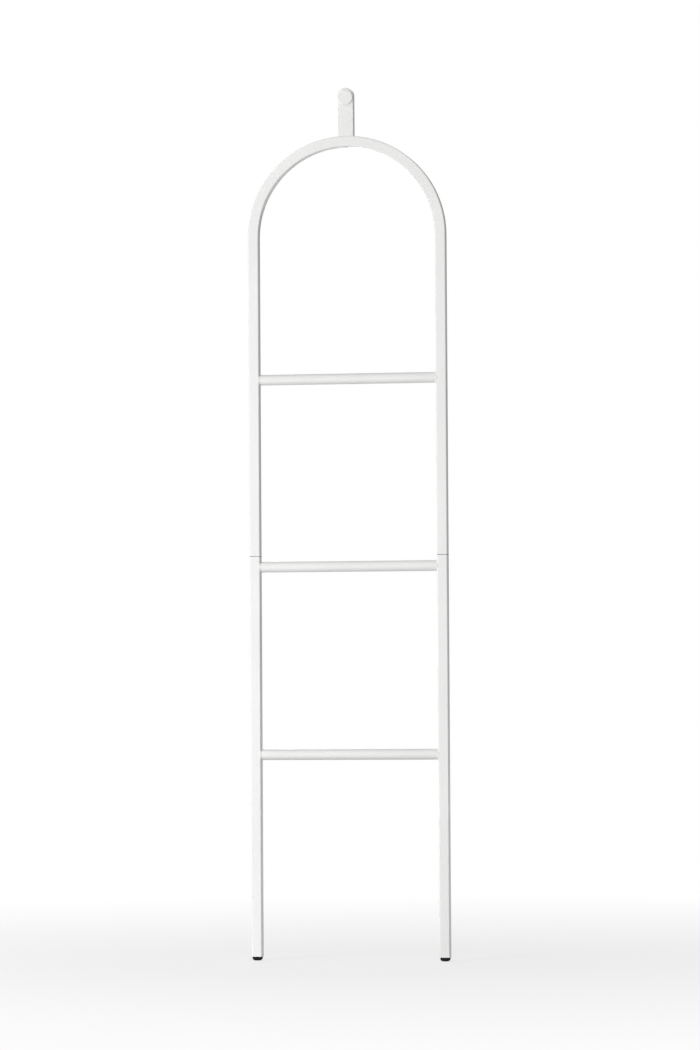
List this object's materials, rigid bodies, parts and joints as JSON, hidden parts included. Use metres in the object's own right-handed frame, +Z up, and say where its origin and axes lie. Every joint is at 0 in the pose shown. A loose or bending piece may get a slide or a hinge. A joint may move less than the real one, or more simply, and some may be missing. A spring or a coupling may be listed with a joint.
{
  "type": "leaning towel ladder",
  "caption": "Arched white steel ladder rack for towels or blankets, with round rungs, a hook post on top and rubber feet.",
  "frame": {"origin": "on the floor, midway between the feet, at the centre of the frame's footprint", "axes": "+X to the right seen from the front, -Y out of the front where the hook's button is, +Y towards the wall, +Z up along the stiles"},
  "size_m": [0.41, 0.0267, 1.785],
  "materials": {
    "powder_coat": "white powder coat, satin, with a very fine orange peel",
    "black_rubber": "matt black moulded rubber",
    "black_steel": "black-oxide screws",
    "plain_steel": "bright zinc-plated steel, hidden inside the tubes"
  },
  "bodies": {
    "root": {"upper_hoop": "powder_coat", "left_leg": "powder_coat", "right_leg": "powder_coat", "upper_rung": "powder_coat", "middle_rung": "powder_coat", "lower_rung": "powder_coat", "hook_post": "powder_coat", "hook_button": "powder_coat", "hook_screw": "black_steel", "wall_pad": "black_rubber", "left_joint_sleeve": "plain_steel", "right_joint_sleeve": "plain_steel", "left_joint_screw": "black_steel", "right_joint_screw": "black_steel", "left_joint_nut": "plain_steel", "right_joint_nut": "plain_steel", "left_foot": "black_rubber", "right_foot": "black_rubber"}
  },
  "joints": []
}
